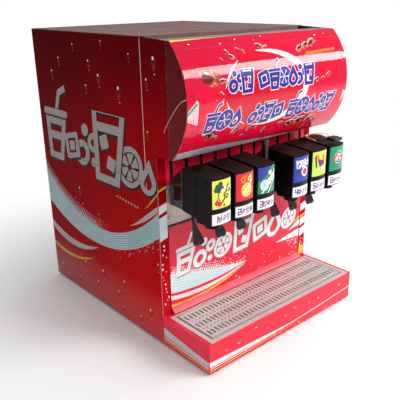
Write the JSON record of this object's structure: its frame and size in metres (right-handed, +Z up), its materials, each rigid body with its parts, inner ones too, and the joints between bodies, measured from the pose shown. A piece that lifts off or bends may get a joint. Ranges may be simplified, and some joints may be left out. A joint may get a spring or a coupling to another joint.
{
  "type": "fountain soda dispenser",
  "caption": "Countertop fountain soda dispenser: red sheet-metal cabinet, bowed light-box canopy, push-lever valves, centre tap, splash panel, slotted drip tray and ice-bank cooler.",
  "frame": {"origin": "centre of the whole footprint (cabinet and drip tray) on the surface the feet stand on", "axes": "+X to the right as the user faces the valves, +Y to the rear, +Z up"},
  "size_m": [0.57, 0.76, 0.7907],
  "materials": {
    "red_vinyl_panel": "gloss",
    "canopy_red": "gloss",
    "end_cap_red": "gloss",
    "grey_metal": "satin",
    "white_metal": "satin",
    "lamp_glass": "satin",
    "stainless": "brushed",
    "bright_steel": "polished",
    "black_gloss": "gloss",
    "black_satin": "satin",
    "grey_plastic": "satin",
    "nozzle_plastic": "satin",
    "solenoid_yellow": "satin",
    "label_film": "gloss",
    "white_card": "satin",
    "black_rubber": "matte",
    "hose_grey": "matte",
    "filter_foam": "matte",
    "insulating_foam": "matte",
    "copper": "satin",
    "black_paint": "satin",
    "fin_aluminium": "satin",
    "pump_blue": "satin",
    "switch_plastic": "gloss"
  },
  "bodies": {
    "cabinet": {"base_pan": "grey_metal", "feet": "black_rubber", "left_side_panel": "red_vinyl_panel", "right_side_panel": "red_vinyl_panel", "rear_panel": "red_vinyl_panel", "bonnet_shell": "red_vinyl_panel", "hood_frame": "red_vinyl_panel", "vent_panel": "red_vinyl_panel", "air_filter": "filter_foam", "valve_plate": "stainless", "plate_gasket": "black_rubber", "panel_screws": "bright_steel", "canopy_end_caps": "end_cap_red", "canopy_sheet": "canopy_red", "canopy_top_rail": "grey_metal", "lamp_tube": "lamp_glass", "lamp_tray": "white_metal", "valve_backblocks": "black_gloss", "valve_bodies": "grey_plastic", "valve_solenoids": "solenoid_yellow", "valve_covers": "black_satin", "valve_nozzles": "nozzle_plastic", "nozzle_diffusers": "nozzle_plastic", "pivot_pins": "bright_steel", "lever_springs": "bright_steel", "flavour_labels": "label_film", "name_cards": "white_card", "tap_body": "black_gloss", "tray_housing": "red_vinyl_panel", "drain_hose": "hose_grey", "tank_liner": "stainless", "tank_insulation": "insulating_foam", "evaporator_coil": "copper", "product_coils": "stainless", "carbonator_tank": "stainless", "refrigeration_deck": "grey_metal", "agitator_motor": "black_paint", "compressor": "black_paint", "condenser": "fin_aluminium", "fan_shroud": "grey_metal", "fan_motor": "black_paint", "control_box": "grey_metal", "water_pump": "pump_blue", "inlet_fittings": "bright_steel", "power_inlet": "switch_plastic", "valve_lead": "switch_plastic"},
    "tap_handle": {"tap_handle": "black_gloss"},
    "drip_pan": {"drip_pan": "stainless"},
    "cup_rest": {"cup_rest": "stainless"},
    "splash_panel": {"splash_panel": "red_vinyl_panel"},
    "agitator_shaft": {"agitator_shaft": "stainless"},
    "fan_blades": {"fan_blades": "fin_aluminium"},
    "power_switch": {"power_switch": "switch_plastic"},
    "top_lid": {"top_lid": "grey_metal"},
    "cup_lever_1": {"cup_lever_1": "black_satin"},
    "cup_lever_2": {"cup_lever_2": "black_satin"},
    "cup_lever_3": {"cup_lever_3": "black_satin"},
    "cup_lever_4": {"cup_lever_4": "black_satin"},
    "cup_lever_5": {"cup_lever_5": "black_satin"},
    "cup_lever_6": {"cup_lever_6": "black_satin"}
  },
  "joints": [
    {"name": "cup_lever_1_push", "type": "hinge", "parent": "cabinet", "child": "cup_lever_1", "pos_m": [-0.2166, -0.242, 0.383], "axis": [1, 0, 0], "range_deg": [0, 14], "stiffness_Nm_per_rad": 0.08, "springref_deg": -11.46},
    {"name": "cup_lever_2_push", "type": "hinge", "parent": "cabinet", "child": "cup_lever_2", "pos_m": [-0.1415, -0.242, 0.383], "axis": [1, 0, 0], "range_deg": [0, 14], "stiffness_Nm_per_rad": 0.08, "springref_deg": -11.46},
    {"name": "cup_lever_3_push", "type": "hinge", "parent": "cabinet", "child": "cup_lever_3", "pos_m": [-0.0664, -0.242, 0.383], "axis": [1, 0, 0], "range_deg": [0, 14], "stiffness_Nm_per_rad": 0.08, "springref_deg": -11.46},
    {"name": "cup_lever_4_push", "type": "hinge", "parent": "cabinet", "child": "cup_lever_4", "pos_m": [0.0664, -0.242, 0.383], "axis": [1, 0, 0], "range_deg": [0, 14], "stiffness_Nm_per_rad": 0.08, "springref_deg": -11.46},
    {"name": "cup_lever_5_push", "type": "hinge", "parent": "cabinet", "child": "cup_lever_5", "pos_m": [0.1415, -0.242, 0.383], "axis": [1, 0, 0], "range_deg": [0, 14], "stiffness_Nm_per_rad": 0.08, "springref_deg": -11.46},
    {"name": "cup_lever_6_push", "type": "hinge", "parent": "cabinet", "child": "cup_lever_6", "pos_m": [0.2166, -0.242, 0.383], "axis": [1, 0, 0], "range_deg": [0, 14], "stiffness_Nm_per_rad": 0.08, "springref_deg": -11.46},
    {"name": "tap_handle_pull", "type": "hinge", "parent": "cabinet", "child": "tap_handle", "pos_m": [0, -0.284, 0.433], "axis": [1, 0, 0], "range_deg": [0, 30]},
    {"name": "splash_panel_swing", "type": "hinge", "parent": "cabinet", "child": "splash_panel", "pos_m": [0, -0.1994, 0.331], "axis": [1, 0, 0], "range_deg": [-20, 0]},
    {"name": "drip_pan_lift", "type": "slide", "parent": "cabinet", "child": "drip_pan", "axis": [0, 0, 1], "range_m": [0, 0.12]},
    {"name": "cup_rest_lift", "type": "slide", "parent": "drip_pan", "child": "cup_rest", "axis": [0, 0, 1], "range_m": [0, 0.08]},
    {"name": "top_lid_lift", "type": "slide", "parent": "cabinet", "child": "top_lid", "axis": [0, 0, 1], "range_m": [0, 0.2]},
    {"name": "power_switch_rock", "type": "hinge", "parent": "cabinet", "child": "power_switch", "pos_m": [0.205, 0.373, 0.306], "axis": [1, 0, 0], "range_deg": [0, 14]},
    {"name": "fan_spin", "type": "hinge", "parent": "cabinet", "child": "fan_blades", "pos_m": [0, -0.112, 0.594], "axis": [0, 1, 0], "continuous": true},
    {"name": "agitator_spin", "type": "hinge", "parent": "cabinet", "child": "agitator_shaft", "pos_m": [-0.055, 0.046, 0.306], "axis": [0, 0, 1], "continuous": true}
  ]
}
